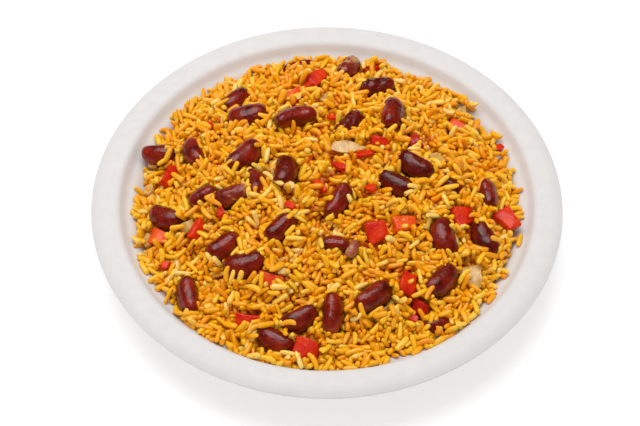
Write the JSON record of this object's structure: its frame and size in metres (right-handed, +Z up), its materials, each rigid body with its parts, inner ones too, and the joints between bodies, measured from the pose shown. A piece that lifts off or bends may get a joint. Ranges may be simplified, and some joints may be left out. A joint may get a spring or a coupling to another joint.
{
  "type": "plate of rice and beans",
  "caption": "Round moulded-fibre plate with a flat rim and stepped ledge, heaped with yellow rice mixed with kidney beans, diced red pepper and onion.",
  "frame": {"origin": "centre of the plate's underside, at table height", "axes": "+Z up, square to the plate; -Y is the side nearest the eater"},
  "size_m": [0.23, 0.23, 0.051],
  "materials": {
    "plate": "matt moulded plant fibre",
    "rice": "cooked rice with a soft oily sheen",
    "bean": "glossy wet bean skin",
    "pepper": "glossy wet vegetable",
    "onion": "moist translucent vegetable"
  },
  "bodies": {
    "root": {"plate": "plate", "rice_mound": "rice", "bean_01": "bean", "bean_02": "bean", "bean_03": "bean", "bean_04": "bean", "bean_05": "bean", "bean_06": "bean", "bean_07": "bean", "bean_08": "bean", "bean_09": "bean", "bean_10": "bean", "bean_11": "bean", "bean_12": "bean", "bean_13": "bean", "bean_14": "bean", "bean_15": "bean", "bean_16": "bean", "bean_17": "bean", "bean_18": "bean", "bean_19": "bean", "bean_20": "bean", "bean_21": "bean", "bean_22": "bean", "bean_23": "bean", "bean_24": "bean", "bean_25": "bean", "bean_26": "bean", "bean_27": "bean", "bean_28": "bean", "bean_29": "bean", "bean_30": "bean", "bean_31": "bean", "bean_32": "bean", "bean_33": "bean", "bean_34": "bean", "bean_35": "bean", "pepper_01": "pepper", "pepper_02": "pepper", "pepper_03": "pepper", "pepper_04": "pepper", "pepper_05": "pepper", "pepper_06": "pepper", "pepper_07": "pepper", "pepper_08": "pepper", "pepper_09": "pepper", "pepper_10": "pepper", "pepper_11": "pepper", "pepper_12": "pepper", "pepper_13": "pepper", "pepper_14": "pepper", "pepper_15": "pepper", "pepper_16": "pepper", "pepper_17": "pepper", "onion_01": "onion", "onion_02": "onion", "onion_03": "onion", "onion_04": "onion", "onion_05": "onion", "onion_06": "onion"}
  },
  "joints": []
}
